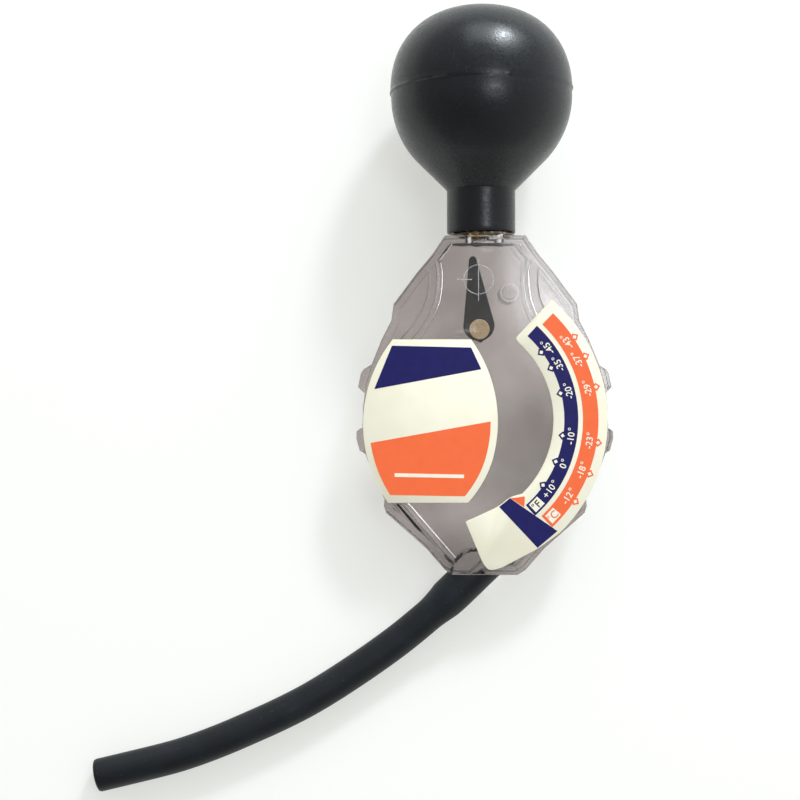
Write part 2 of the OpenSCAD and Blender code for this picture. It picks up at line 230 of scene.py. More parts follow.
def mouldedRubber():
    # EPDM rubber, compression moulded: satin black with a grey bloom in cloudy patches and specks of dust.
    # The mould's sparked skin breaks the highlight up
    material, tree, onPiece = newMaterial("moulded_epdm_rubber")
    clouds = addNode(tree, "TexNoise", {}, {"Scale": perMetre(16), "Detail": 4}, onPiece)
    bloom = addNode(tree, "ValToRGB", {}, {}, {"Fac": (clouds, "Fac")},
                    [(0.3, "#0d1115"), (0.55, "#12161a"), (0.75, "#191e23")])
    specks = addNode(tree, "TexNoise", {}, {"Scale": perMetre(0.8), "Detail": 2}, onPiece)
    dust = addNode(tree, "ValToRGB", {}, {}, {"Fac": (specks, "Fac")}, [(0.71, 0.0), (0.76, 0.8)])
    tint = addNode(tree, "Mix", {"data_type": "RGBA"}, {7: linear("#3c4144")},
                   {0: (dust, "Color"), 6: (bloom, "Color")})
    scuffs = addNode(tree, "TexNoise", {}, {"Scale": perMetre(1.3), "Detail": 4, "Roughness": 0.7}, onPiece)
    wear = addNode(tree, "ValToRGB", {}, {}, {"Fac": (scuffs, "Fac")}, [(0.35, 0.22), (0.65, 0.37)])
    sparked = addNode(tree, "TexNoise", {}, {"Scale": perMetre(0.7), "Detail": 3, "Roughness": 0.6}, onPiece)
    grain = addNode(tree, "Bump", {}, {"Strength": 0.7, "Distance": 0.06 * mm}, {"Height": (sparked, "Fac")})
    uneven = addNode(tree, "TexNoise", {}, {"Scale": perMetre(11), "Detail": 1}, onPiece)
    shape = addNode(tree, "Bump", {}, {"Strength": 0.3, "Distance": 0.4 * mm},
                    {"Height": (uneven, "Fac"), "Normal": (grain, "Normal")})
    shader = addNode(tree, "BsdfPrincipled", {}, {"IOR": 1.5, "Specular IOR Level": 0.4},
                     {"Base Color": (tint, 2), "Roughness": (wear, "Color"), "Normal": (shape, "Normal")})
    addNode(tree, "OutputMaterial", links={"Surface": (shader, "BSDF")})
    return material


def extrudedRubber():
    # EPDM hose, extruded: duller than the bulb, with faint lines along its length from the die
    material, tree, onPiece = newMaterial("extruded_epdm_hose")
    lengthwise = addNode(tree, "TexCoord")
    spread = addNode(tree, "Mapping", {}, {"Scale": (4.0, 160.0, 1.0)}, {"Vector": (lengthwise, "UV")})
    streaks = addNode(tree, "TexNoise", {}, {"Scale": 1.0, "Detail": 2}, {"Vector": (spread, "Vector")})
    clouds = addNode(tree, "TexNoise", {}, {"Scale": perMetre(11), "Detail": 4}, onPiece)
    bloom = addNode(tree, "ValToRGB", {}, {}, {"Fac": (clouds, "Fac")},
                    [(0.3, "#0f1418"), (0.55, "#14191e"), (0.75, "#1b2228")])
    specks = addNode(tree, "TexNoise", {}, {"Scale": perMetre(0.7), "Detail": 2}, onPiece)
    dust = addNode(tree, "ValToRGB", {}, {}, {"Fac": (specks, "Fac")}, [(0.68, 0.0), (0.75, 0.7)])
    tint = addNode(tree, "Mix", {"data_type": "RGBA"}, {7: linear("#3d4346")},
                   {0: (dust, "Color"), 6: (bloom, "Color")})
    wear = addNode(tree, "ValToRGB", {}, {}, {"Fac": (streaks, "Fac")}, [(0.3, 0.42), (0.7, 0.54)])
    pores = addNode(tree, "TexNoise", {}, {"Scale": perMetre(0.4), "Detail": 2}, onPiece)
    grain = addNode(tree, "Bump", {}, {"Strength": 0.5, "Distance": 0.03 * mm}, {"Height": (pores, "Fac")})
    drawn = addNode(tree, "Bump", {}, {"Strength": 0.4, "Distance": 0.05 * mm},
                    {"Height": (streaks, "Fac"), "Normal": (grain, "Normal")})
    shader = addNode(tree, "BsdfPrincipled", {}, {"IOR": 1.5, "Specular IOR Level": 0.28},
                     {"Base Color": (tint, 2), "Roughness": (wear, "Color"), "Normal": (drawn, "Normal")})
    addNode(tree, "OutputMaterial", links={"Surface": (shader, "BSDF")})
    return material


# painted shade in the plastic's tint: the scale label's shadow in the middle of the chamber, and the shade by
# the hose's root in its lowest corner
paintedShades = [{"centre": (17.0, 42.0, 0.0), "inner": 6.0, "outer": 33.0, "darkest": 0.81},
         {"centre": (-5.0, 0.0, 0.0), "inner": 5.0, "outer": 23.0, "darkest": 0.7}]


def clearStyrene(name, tints, lampTint, roughness, clearness=1.0):
    # SAN, injection moulded, smoky and clouded with use: light passes, with fine haze and slow waves of flow.
    # A lamp's light is let straight through, a little tinted, so that what lies behind is lit. Two patches of
    # painted shade darken it towards their centres
    material, tree, onPiece = newMaterial(name)
    flow = addNode(tree, "TexNoise", {}, {"Scale": perMetre(17), "Detail": 1}, onPiece)
    waves = addNode(tree, "Bump", {}, {"Strength": 0.5, "Distance": 0.12 * mm}, {"Height": (flow, "Fac")})
    clouds = addNode(tree, "TexNoise", {}, {"Scale": perMetre(22), "Detail": 2}, onPiece)
    tint = addNode(tree, "ValToRGB", {}, {}, {"Fac": (clouds, "Fac")}, [(0.36, tints[0]), (0.64, tints[1])])
    tintOutput = "Color"
    # painted shade: the tint darkens towards each patch's centre
    for paintedShade in paintedShades:
        away = addNode(tree, "VectorMath", {"operation": "DISTANCE"},
                       {1: place([paintedShade["centre"]])[0].tolist()}, {0: onPiece["Vector"]})
        depth = addNode(tree, "MapRange", {"interpolation_type": "SMOOTHSTEP"},
                        {"From Min": paintedShade["inner"] * mm, "From Max": paintedShade["outer"] * mm,
                         "To Min": paintedShade["darkest"], "To Max": 1.0}, {"Value": (away, "Value")})
        tint = addNode(tree, "Mix", {"data_type": "RGBA", "blend_type": "MULTIPLY"}, {0: 1.0},
                       {6: (tint, tintOutput), 7: (depth, "Result")})
        tintOutput = 2
    mist = addNode(tree, "TexNoise", {}, {"Scale": perMetre(6), "Detail": 4}, onPiece)
    haze = addNode(tree, "ValToRGB", {}, {}, {"Fac": (mist, "Fac")},
                   [(0.35, roughness), (0.7, roughness * 1.6)])
    shader = addNode(tree, "BsdfPrincipled", {}, {"IOR": 1.5, "Transmission Weight": clearness},
                     {"Base Color": (tint, tintOutput), "Roughness": (haze, "Color"),
                      "Normal": (waves, "Normal")})
    through = addNode(tree, "BsdfTransparent", {}, {"Color": linear(lampTint)})
    path = addNode(tree, "LightPath")
    mix = addNode(tree, "MixShader", {}, {},
                  {0: (path, "Is Shadow Ray"), 1: (shader, "BSDF"), 2: (through, "BSDF")})
    addNode(tree, "OutputMaterial", links={"Surface": (mix, "Shader")})
    return material


def plainPlastic(name, colour, dark, roughness, size=4.0, depth=0.02, gloss=0.4):
    # a moulded or printed surface with a little variation in colour and a fine grain
    material, tree, onPiece = newMaterial(name)
    clouds = addNode(tree, "TexNoise", {}, {"Scale": perMetre(size), "Detail": 4}, onPiece)
    tone = addNode(tree, "ValToRGB", {}, {}, {"Fac": (clouds, "Fac")}, [(0.3, dark), (0.7, colour)])
    scuffs = addNode(tree, "TexNoise", {}, {"Scale": perMetre(2.5), "Detail": 3}, onPiece)
    wear = addNode(tree, "ValToRGB", {}, {}, {"Fac": (scuffs, "Fac")},
                   [(0.3, roughness), (0.7, roughness * 1.25)])
    pores = addNode(tree, "TexNoise", {}, {"Scale": perMetre(0.3), "Detail": 2}, onPiece)
    grain = addNode(tree, "Bump", {}, {"Strength": 0.4, "Distance": depth * mm}, {"Height": (pores, "Fac")})
    shader = addNode(tree, "BsdfPrincipled", {}, {"IOR": 1.5, "Specular IOR Level": gloss},
                     {"Base Color": (tone, "Color"), "Roughness": (wear, "Color"),
                      "Normal": (grain, "Normal")})
    addNode(tree, "OutputMaterial", links={"Surface": (shader, "BSDF")})
    return material


def tumbledBrass():
    # brass disc, tumbled: matt and pale, mottled with fine pits
    material, tree, onPiece = newMaterial("tumbled_brass")
    clouds = addNode(tree, "TexNoise", {}, {"Scale": perMetre(0.8), "Detail": 4, "Roughness": 0.7}, onPiece)
    tone = addNode(tree, "ValToRGB", {}, {}, {"Fac": (clouds, "Fac")},
                   [(0.3, "#b9a785"), (0.5, "#d3bf97"), (0.75, "#eddcb5")])
    dents = addNode(tree, "TexNoise", {}, {"Scale": perMetre(0.35), "Detail": 3}, onPiece)
    pits = addNode(tree, "Bump", {}, {"Strength": 0.6, "Distance": 0.04 * mm}, {"Height": (dents, "Fac")})
    shader = addNode(tree, "BsdfPrincipled", {}, {"Metallic": 0.35, "Roughness": 0.55},
                     {"Base Color": (tone, "Color"), "Normal": (pits, "Normal")})
    addNode(tree, "OutputMaterial", links={"Surface": (shader, "BSDF")})
    return material


def turnedSteel():
    # stainless pin, turned: fine rings round its length
    material, tree, onPiece = newMaterial("turned_stainless_steel")
    rings = addNode(tree, "TexWave", {"bands_direction": "Z"}, {"Scale": perMetre(0.6), "Distortion": 0.3},
                    onPiece)
    cut = addNode(tree, "Bump", {}, {"Strength": 0.4, "Distance": 0.01 * mm}, {"Height": (rings, "Fac")})
    shader = addNode(tree, "BsdfPrincipled", {},
                     {"Base Color": linear("#c3c4c6"), "Metallic": 1.0, "Roughness": 0.28},
                     {"Normal": (cut, "Normal")})
    addNode(tree, "OutputMaterial", links={"Surface": (shader, "BSDF")})
    return material


def cementAndShadeLine(name, stops, roughness):
    # contact cement, squeezed out and dried: lumpy, with skins that went amber, brown or whitish. In dark
    # greys the same skin draws lines of painted shade
    material, tree, onPiece = newMaterial(name)
    clouds = addNode(tree, "TexNoise", {}, {"Scale": perMetre(1.6), "Detail": 4, "Roughness": 0.65}, onPiece)
    tone = addNode(tree, "ValToRGB", {}, {}, {"Fac": (clouds, "Fac")}, stops)
    beads = addNode(tree, "TexNoise", {}, {"Scale": perMetre(0.7), "Detail": 3}, onPiece)
    lumps = addNode(tree, "Bump", {}, {"Strength": 0.6, "Distance": 0.15 * mm}, {"Height": (beads, "Fac")})
    shader = addNode(tree, "BsdfPrincipled", {}, {"IOR": 1.48, "Roughness": roughness},
                     {"Base Color": (tone, "Color"), "Normal": (lumps, "Normal")})
    addNode(tree, "OutputMaterial", links={"Surface": (shader, "BSDF")})
    return material


bulbRubber = mouldedRubber()
hoseRubber = extrudedRubber()
clearPlastic = clearStyrene("clear_moulded_styrene", ("#d4cecd", "#e1dcdb"), "#f1efee", 0.055)
markPlastic = clearStyrene("frosted_moulded_mark", ("#eceaeb", "#f6f4f5"), "#f6f4f5", 0.2, 0.75)
pointerPlastic = plainPlastic("moulded_black_abs", "#292927", "#1e1e1c", 0.42)
discBrass = tumbledBrass()
pinSteel = turnedSteel()
labelFilm = plainPlastic("cream_vinyl_label", "#fdf8e2", "#f8f2d8", 0.42, 9.0, 0.01)
inkBlue = plainPlastic("screen_print_blue", "#1f1d62", "#1b1957", 0.38, 3.0, 0.01, 0.18)
inkOrange = plainPlastic("screen_print_orange", "#ff7340", "#fb6f3e", 0.4, 3.0, 0.01, 0.25)
inkCream = plainPlastic("screen_print_cream", "#fdf8e6", "#f8f2da", 0.4, 3.0, 0.01)
inkBlack = plainPlastic("screen_print_black", "#262127", "#211d22", 0.4, 3.0, 0.01, 0.25)
# the same lumpy skin in dark greys, for the lines of painted shade in the chamber's corners
shadeLineGrey = cementAndShadeLine("painted_shade_line", [(0.3, "#14120f"), (0.5, "#2b2723"), (0.7, "#5c564e")],
                          0.35)
brownCement = cementAndShadeLine("dried_cement_brown", [(0.32, "#2a211b"), (0.5, "#5b4a3c"), (0.62, "#8d7c68")], 0.3)
amberCement = cementAndShadeLine("dried_cement_amber", [(0.35, "#7b4f1f"), (0.5, "#b98a3e"), (0.66, "#e6cf8a")],
                          0.22)
paleCement = cementAndShadeLine("dried_cement_pale", [(0.35, "#8f8781"), (0.5, "#c4bdb6"), (0.66, "#eeeae4")], 0.4)
print("materials made")

# camera
camera = {"place": (-27.5, 56.4, 490.0), "lens": 67.2, "sensor": 36.0, "nearest": 0.01}
cameraData = bpy.data.cameras.new("camera")
cameraData.lens = camera["lens"]
cameraData.sensor_width = camera["sensor"]
cameraData.clip_start = camera["nearest"]
cameraTurn = Matrix(flatAxes.T.tolist()).to_4x4()
cameraObject = inScene("camera", cameraData)
cameraObject.matrix_world = Matrix.Translation(place([camera["place"]])[0].tolist()) @ cameraTurn
bpy.context.scene.camera = cameraObject
print("camera set")

# hose
hose = {
    "radius": 5.3, "bore": 3.2, "stretchedRadius": 6.5, "stretchedBore": 4.3, "stretched": 9.0, "taper": 12.0,
    "root": (-3.0, 0.0), "angle": 44.0, "inside": 3.0, "outward": (3.0, 9.0, 16.0), "clear": 0.02,
    "flare": 15.0, "rim": 0.9, "sides": 48, "step": 1.5, "samples": 12,
    "route": [(-25, -104.8, 6.1), (-33, -110.8, 5.6), (-41, -116.3, 5.4), (-49.5, -121.8, 5.4),
              (-58, -126.8, 5.4), (-67, -131.3, 5.4), (-76, -135.3, 5.4), (-85.5, -139.3, 5.4),
              (-95, -142.8, 5.4), (-104.5, -145.6, 5.4), (-126, -150.7, 5.4)],
}


def hoseRoute():
    # straight out along the spigot, then the points on the table, as one smooth curve through them all, cut
    # into even steps
    heading = -np.array([np.cos(np.radians(hose["angle"])), np.sin(np.radians(hose["angle"])), 0.0])
    along = np.array([-hose["inside"], *hose["outward"]])
    start = place(np.array([*hose["root"], 0.0]) + along[:, None] * heading)
    points = np.vstack([start, np.array(hose["route"]) * mm])
    ends = np.vstack([2 * points[0] - points[1], points, 2 * points[-1] - points[-2]])
    p0, p1, p2, p3 = ends[:-3, None], ends[1:-2, None], ends[2:-1, None], ends[3:, None]
    t = np.linspace(0, 1, hose["samples"], endpoint=False)[None, :, None]
    curve = 0.5 * (2 * p1 + (p2 - p0) * t + (2 * p0 - 5 * p1 + 4 * p2 - p3) * t ** 2
                   + (3 * p1 - p0 - 3 * p2 + p3) * t ** 3)
    curve = np.vstack([curve.reshape(-1, 3), points[-1:]])
    travelled = np.concatenate([[0], np.cumsum(np.linalg.norm(np.diff(curve, axis=0), axis=1))])
    count = int(round(travelled[-1] / (hose["step"] * mm))) + 1
    even = np.linspace(0, travelled[-1], count)
    return np.column_stack([np.interp(even, travelled, curve[:, k]) for k in range(3)]), even


def makeHose():
    # rings of a tube along the route; at the root each line of the tube starts where it meets the housing's
    # lower edge
    route, travelled = hoseRoute()
    heading = np.gradient(route, axis=0)
    heading /= np.linalg.norm(heading, axis=1)[:, None]
    side = np.cross((0.0, 0.0, 1.0), heading)
    side /= np.linalg.norm(side, axis=1)[:, None]
    up = np.cross(heading, side)
    angle = np.linspace(0, 2 * np.pi, hose["sides"], endpoint=False)
    around = side[:, None] * np.cos(angle)[None, :, None] + up[:, None] * np.sin(angle)[None, :, None]
    stretch = 1 - smooth((travelled / mm - hose["inside"] - hose["stretched"]) / hose["taper"])
    outer = (hose["radius"] + stretch * (hose["stretchedRadius"] - hose["radius"])) * mm
    bore = (hose["bore"] + stretch * (hose["stretchedBore"] - hose["bore"])) * mm
    level = faceUp @ (place([[0.0, -hose["clear"], 0.0]])[0])

    def skin(radius):
        # near the root the lines run straight on until they reach the lower edge
        grid = route[:, None] + radius[:, None, None] * around
        near = travelled < hose["flare"] * mm
        anchor = np.argmax(~near)
        direction = heading[0]
        back = (grid[anchor] @ faceUp - level) / (direction @ faceUp)
        share = (travelled[:anchor + 1] / travelled[anchor])[:, None, None]
        line = grid[anchor] - back[:, None] * direction
        grid[:anchor + 1] = line[None] * (1 - share) + grid[anchor][None] * share
        # and keep the larger radius along that straight stretch
        extra = (radius[:anchor] - radius[anchor])[:, None, None]
        grid[:anchor] += extra * (around[:anchor] - (around[:anchor] @ faceUp)[..., None] * faceUp)
        return grid

    outside, inside = skin(outer), skin(bore)
    # the square-cut end, with its outer rim a little rounded
    soft = 0.3 * hose["rim"]
    endRing = route[-1] + (hose["radius"] - hose["rim"]) * mm * around[-1]
    shoulder = route[-1] - soft * mm * heading[-1] + (hose["radius"] - soft) * mm * around[-1]
    outside[-1] = route[-1] - hose["rim"] * mm * heading[-1] + hose["radius"] * mm * around[-1]
    grid = np.concatenate([outside, shoulder[None], endRing[None], inside[::-1]])
    rows, columns = grid.shape[:2]
    faces = gridFaces(rows, columns, wrapRows=True, wrapColumns=True)
    piece = finishMesh("suction_hose", grid.reshape(-1, 3), faces.tolist(), hoseRubber, sharpAngle=50,
                       merge=False)
    uv = piece.data.uv_layers.new(name="UVMap")
    corner = np.zeros(len(piece.data.loops), int)
    piece.data.loops.foreach_get("vertex_index", corner)
    spread = np.column_stack([corner // columns / rows, corner % columns / columns])
    uv.data.foreach_set("uv", spread.ravel().astype(np.float32))
    return piece, route, travelled[-1]


hoseTube, hosePath, hoseLength = makeHose()
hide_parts("hose")
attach(hoseTube, "housing")
print("hose made,", round(hoseLength * 1000, 1), "mm")

# bulb
bulb = {
    "radius": 29.6, "crown": 27.9, "crownPower": 2.28, "belt": 1.2, "lowerBelt": 155.76, "wall": 3.0,
    "cone": 45.0, "fillet": 0.4, "neckRadius": 11.2, "neckBore": 8.65, "neckEnd": 110.9, "lip": 0.5,
    "lipRound": 0.15, "shift": -0.9, "turns": 256, "seam": 157.3, "seamTilt": 0.65, "flash": 0.42,
    "flashWidth": 0.5, "step": 0.25, "stepHeight": 0.4, "nub": (0.25, 0.5, 0.6), "swell": 0.1,
    "swellFrom": 12.0, "swellOver": 10.0, "still": 119, "moving": 176,
}


def bulbProfile(wall, mouth, end):
    # superellipse crown, straight belt, round lower half, straight cone, small fillet and neck
    r = bulb["radius"] - wall
    low, high = bulb["lowerBelt"], bulb["lowerBelt"] + bulb["belt"]
    a = np.radians(np.linspace(0, 90, 64))
    crown = np.column_stack([r * np.sin(a) ** (2 / bulb["crownPower"]),
                             high + (bulb["crown"] - wall) * np.cos(a) ** (2 / bulb["crownPower"])])
    belt = np.column_stack([np.full(9, r), np.linspace(high, low, 11)[1:-1]])
    a = np.radians(np.linspace(0, bulb["cone"], 32))
    lower = np.column_stack([r * np.cos(a), low - r * np.sin(a)])
    slope = 1 / np.tan(np.radians(bulb["cone"]))
    coneEnd = np.array([mouth, lower[-1, 1] - (lower[-1, 0] - mouth) * slope])
    cornerIn = coneEnd + bulb["fillet"] * np.array([0.7, 0.7 * slope])  # a fillet's length up the cone
    cornerOut = coneEnd - (0, bulb["fillet"])
    t = np.linspace(0, 1, 14)[1:-1, None]
    cone = lower[-1] + (cornerIn - lower[-1]) * t
    t = np.linspace(0, 1, 6)[:, None]
    corner = (1 - t) ** 2 * cornerIn + 2 * t * (1 - t) * coneEnd + t ** 2 * cornerOut
    neck = np.column_stack([np.full(10, mouth), np.linspace(cornerOut[1], end, 11)[1:]])
    return np.vstack([crown, belt, lower[1:], cone, corner, neck])


def makeBulb():
    # the outer profile and the lining as one revolved skin, joined round the neck's end. Where the two moulds
    # met, the skin has a ragged flash (a narrow bell curve along the seam, its height a product of sines), a
    # step that is deeper on the left, and one nub. Low waves of sines swell it, and it lies a little off its
    # bore
    outer = bulbProfile(0.0, bulb["neckRadius"], bulb["neckEnd"] + bulb["lip"])
    inner = bulbProfile(bulb["wall"], bulb["neckBore"], bulb["neckEnd"] + bulb["lip"])
    high, low = bulb["neckEnd"] + bulb["lipRound"], bulb["neckEnd"]
    lip = np.array([[bulb["neckRadius"] - bulb["lipRound"], high], [bulb["neckRadius"] - bulb["lip"], low],
                    [bulb["neckBore"] + bulb["lip"], low], [bulb["neckBore"] + bulb["lipRound"], high]])
    profile = np.vstack([outer, lip, inner[::-1]])
    angle = np.linspace(0, 2 * np.pi, bulb["turns"], endpoint=False)
    radius, height = np.repeat(profile[:, :1], bulb["turns"], 1), np.repeat(profile[:, 1:], bulb["turns"], 1)
    isOuter = np.arange(len(profile))[:, None] < len(outer) + 2
    seam = bulb["seam"] + bulb["seamTilt"] * np.sin(angle)[None]
    ragged = 0.75 + 0.25 * np.sin(7 * angle + 1.0) * np.sin(17 * angle)
    ridge = bulb["flash"] * ragged * np.exp(-((height - seam) / (bulb["flashWidth"] / 2)) ** 2)
    step = bulb["step"] * smooth((height - seam) / bulb["stepHeight"] + 0.5) * (0.7 - 0.3 * np.sin(angle))
    nubAngle, nubHeight, nubWidth = bulb["nub"]
    nubPlace = (angle - nubAngle) * bulb["radius"]
    nub = nubHeight * np.exp(-(nubPlace ** 2 + (height - seam) ** 2) / nubWidth ** 2)
    swell = bulb["swell"] * (np.sin(3 * angle + 0.7) * np.sin(height / 9.0)
                             + 0.7 * np.cos(5 * angle) * np.cos(height / 6.0))
    share = smooth((radius - bulb["swellFrom"]) / bulb["swellOver"])
    radius = radius + isOuter * (radius > 0.5) * (ridge + step + nub + swell * share)
    x = radius * np.sin(angle) + bulb["shift"] * isOuter
    grid = np.stack([x, height, radius * np.cos(angle)], -1)
    return gridPiece("squeeze_bulb", grid, bulbRubber, wrapColumns=True, sharpAngle=60)


bulbPiece = makeBulb()
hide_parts("bulb")
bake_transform(bulbPiece)
print("bulb made")

# sealant
sealant = {
    "middle": 110.2, "ring": 9.3, "halfWidth": 0.95, "halfHeight": 0.75,
    "thread": {"from": -5.2, "to": -0.4, "y": 110.0, "z": 9.4, "radius": 0.32, "sag": 0.8},
    "smear": {"from": 0.9, "to": 5.6, "thickness": 0.3, "sunk": 0.05, "fold": [
        (110.3, 8.3), (109.7, 8.8), (109.55, 9.0), (109.2, 9.05), (108.7, 9.03), (108.2, 9.0)]},
}


def cementPiece(name, grid, material, **keys):
    piece = gridPiece(name, grid, material, sharpAngle=80, **keys)
    onHousing(piece)
    return piece


def makeSealant():
    # a squashed ring whose width swells and thins as it goes round, by products of sines, as cement that was
    # pressed out by hand
    around = np.linspace(0, 2 * np.pi, 160, endpoint=False)[:, None]
    section = np.linspace(0, 2 * np.pi, 20, endpoint=False)[None]
    swell = 1 + 0.3 * np.sin(5 * around + 0.4) * np.sin(3 * around) + 0.15 * np.sin(13 * around)
    radius = sealant["ring"] + sealant["halfWidth"] * swell * np.cos(section) + 0.15 * np.sin(4 * around)
    height = sealant["middle"] + sealant["halfHeight"] * np.sin(section) * (1 - 0.08 * np.cos(7 * around))
    grid = np.stack([radius * np.sin(around), height + 0 * radius, radius * np.cos(around)], -1)
    ring = cementPiece("neck_cement", grid, brownCement, wrapRows=True, wrapColumns=True)
    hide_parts("neck_sealant")


def strip(name, xy, z, halfWidth, halfThickness, material):
    # a dried thread or smear of cement, or a line of painted shade: an ellipse carried along a path, its
    # width a wave of sines that is drawn in at both ends
    t = np.linspace(0, 1, len(xy))
    chord = np.gradient(xy, axis=0)
    normal = np.column_stack([-chord[:, 1], chord[:, 0]]) / np.linalg.norm(chord, axis=1)[:, None]
    waves = 1 + 0.2 * np.sin(19 * t) + 0.15 * np.sin(31 * t + xy[0, 0])
    uneven = (0.3 + 0.7 * np.sin(np.pi * t) ** 0.5) * waves
    a = np.linspace(0, 2 * np.pi, 10, endpoint=False)
    across = halfWidth * uneven[:, None] * np.cos(a)
    flat = xy[:, None] + across[..., None] * normal[:, None]
    rise = z + halfThickness * uneven[:, None] * np.sin(a)
    cementPiece(name, np.concatenate([flat, rise[..., None]], -1), material, wrapColumns=True, caps=True)


def makeThread():
    # an amber thread that sags between its ends over the front of the ring
    facts = sealant["thread"]
    t = np.linspace(0, 1, 40)
    x = facts["from"] + (facts["to"] - facts["from"]) * t
    y = facts["y"] - facts["sag"] * (1 - (2 * t - 1) ** 4)
    strip("cement_thread", np.column_stack([x, y]), facts["z"], facts["radius"], facts["radius"], amberCement)


def makeSmear():
    # a lumpy pale skin folded over the housing's top edge: u along the edge, v across the fold, its
    # thickness a sum of sines that thins out at the rim
    facts = sealant["smear"]
    fold = np.array(facts["fold"])
    u, v = np.linspace(0, 1, 26)[:, None], np.linspace(0, 1, len(fold))[None]
    lumps = 0.6 + 0.25 * np.sin(17 * u + 3 * v) + 0.2 * np.sin(9 * u - 5 * v)
    thick = facts["thickness"] * lumps * np.sin(np.pi * u) ** 0.4 * np.sin(np.pi * (0.06 + 0.88 * v)) ** 0.5
    x = facts["from"] + (facts["to"] - facts["from"]) * (u + 0.04 * np.sin(9 * v))
    top = np.stack([x, fold[:, 0] + 0.7 * thick, fold[:, 1] + thick], -1)
    under = np.stack([x, fold[:, 0] - facts["sunk"] + 0 * thick, fold[:, 1] - facts["sunk"] + 0 * thick], -1)
    skin = np.concatenate([top, under[:, ::-1]], 1)
    cementPiece("cement_smear", skin, paleCement, wrapColumns=True, caps=True)


makeSealant()
makeThread()
makeSmear()
print("sealant made")

# housing
edgeFinish = {
    "rounds": [(3.6, 0.95, 5), (5.3, 0.8, 5), (9.0, 0.45, 3), (6.0, 0.35, 3)],  # level, width, steps
    "near": 0.01, "corner": 0.5, "gap": 0.03, "joint": 0.002, "weld": 2e-6, "flat": 0.6, "sharp": 28.0,
    "small": {"corner": 0.6, "steps": 3, "pointer": 0.25, "pointer_disc": 0.2},
}


def mergedCopy(node):
    # the node's own triangles, merged into flat faces
    bm = bmesh.new()
    bm.from_mesh(frame["nodes"][node].data)
    bmesh.ops.remove_doubles(bm, verts=bm.verts, dist=edgeFinish["weld"])
    flat = np.radians(edgeFinish["flat"])
    bmesh.ops.dissolve_limit(bm, angle_limit=flat, verts=bm.verts, edges=bm.edges)
    return bm


def depths(bm):
    # distance of each corner in front of the joint of the two shells, in mm
    bm.verts.ensure_lookup_table()
    bm.verts.index_update()
    return (np.array([v.co for v in bm.verts]) - np.array(swing["pos_m"])) @ faceOut / mm


def roundEdges(bm, edges, corner, width, steps):
    # rounds those of the edges that stand out by more than a corner's angle, in radians
    edges = [e for e in edges if e.is_manifold and e.is_convex and e.calc_face_angle() > corner]
    bmesh.ops.bevel(bm, geom=edges, offset=width * mm, offset_type="OFFSET", segments=steps, profile=0.5,
                    affect="EDGES", clamp_overlap=False)


def dressed(bm, node, name, material, body):
    # stands a finished copy for a node: round edges shaded smooth, flat faces flat
    mesh = bpy.data.meshes.new(name)
    bm.to_mesh(mesh)
    bm.free()
    mesh.materials.append(material)
    shadeSmooth(mesh, edgeFinish["sharp"])
    piece = inScene(name, mesh)
    weighted = piece.modifiers.new("flat faces stay flat", "WEIGHTED_NORMAL")
    weighted.keep_sharp = True
    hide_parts(node)
    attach(piece, body)


def dressShell(node, name, side):
    # the outer corners of what stands up to each level are rounded, as a polished mould leaves them, and the
    # joint of the two shells has a hair of room
    bm = mergedCopy(node)
    for level, width, steps in edgeFinish["rounds"]:
        near = np.abs(np.abs(depths(bm)) - level) < edgeFinish["near"]
        edges = [e for e in bm.edges if near[e.verts[0].index] and near[e.verts[1].index]]
        roundEdges(bm, edges, edgeFinish["corner"], width, steps)
    room = Vector((faceOut * edgeFinish["gap"] * side * mm).tolist())
    for index in np.flatnonzero(np.abs(depths(bm)) < edgeFinish["joint"]):
        bm.verts[index].co += room
    dressed(bm, node, name, clearPlastic, "housing")


def dressSmall(node, name, material):
    # a small piece with all its sharp edges rounded
    facts = edgeFinish["small"]
    bm = mergedCopy(node)
    roundEdges(bm, bm.edges, facts["corner"], facts[node], facts["steps"])
    dressed(bm, node, name, material, "pointer")


dressShell("front_shell", "front_housing", 1)
dressShell("back_shell", "back_housing", -1)

# painted shade: dark lines along the inner corners of the chamber, on the inside of the front wall
shadeLines = {"z": 6.8, "thickness": 0.15, "boss": (-3.0, 0.0), "bossReach": 7.85, "uneven": 0.25,
           "top": ((-10.6, 106.6), (9.1, 106.6), 0.55), "corner": ((-13.0, 6.4), (-10.9, 3.9), 0.55),
           "arcs": [(72, 112, 0.4), (122, 150, 0.5), (160, 178, 0.3)]}


def makeShadeLines():
    # lines of painted shade: two straight strips, and three arcs round the lower boss whose distance from it
    # is a wave
    t = np.linspace(0, 1, 48)[:, None]
    for name in ("top", "corner"):
        start, end, width = shadeLines[name]
        path = np.array(start) * (1 - t) + np.array(end) * t
        strip("shade_line_" + name, path, shadeLines["z"], width, shadeLines["thickness"], shadeLineGrey)
    for i, (start, end, width) in enumerate(shadeLines["arcs"]):
        path = arcPoints(shadeLines["boss"], shadeLines["bossReach"], start, end, 40)
        outwards = (path - shadeLines["boss"]) / shadeLines["bossReach"]
        path = path + shadeLines["uneven"] * np.sin(23 * t[:40]) * outwards
        strip(f"shade_line_arc_{i}", path, shadeLines["z"], width, shadeLines["thickness"], shadeLineGrey)


makeShadeLines()

# the stop post's ends, frosted where the mould's sleeve and pin met
stopPost = {"centre": (7.9, 91.1), "ring": (2.55, 3.05), "foot": -6.85, "top": 6.78, "thickness": 0.12}
for end in ("foot", "top"):
    low, high = stopPost[end], stopPost[end] + stopPost["thickness"]
    onHousing(flatRing(f"post_{end}_ring", stopPost["centre"], stopPost["ring"], low, high, markPlastic, 48))
print("housing made")

# pointer
dressSmall("pointer", "swinging_pointer", pointerPlastic)
dressSmall("pointer_disc", "pointer_brass_disc", discBrass)
frame["nodes"]["pivot_pin"].data.materials.clear()
frame["nodes"]["pivot_pin"].data.materials.append(pinSteel)
print("pointer made")

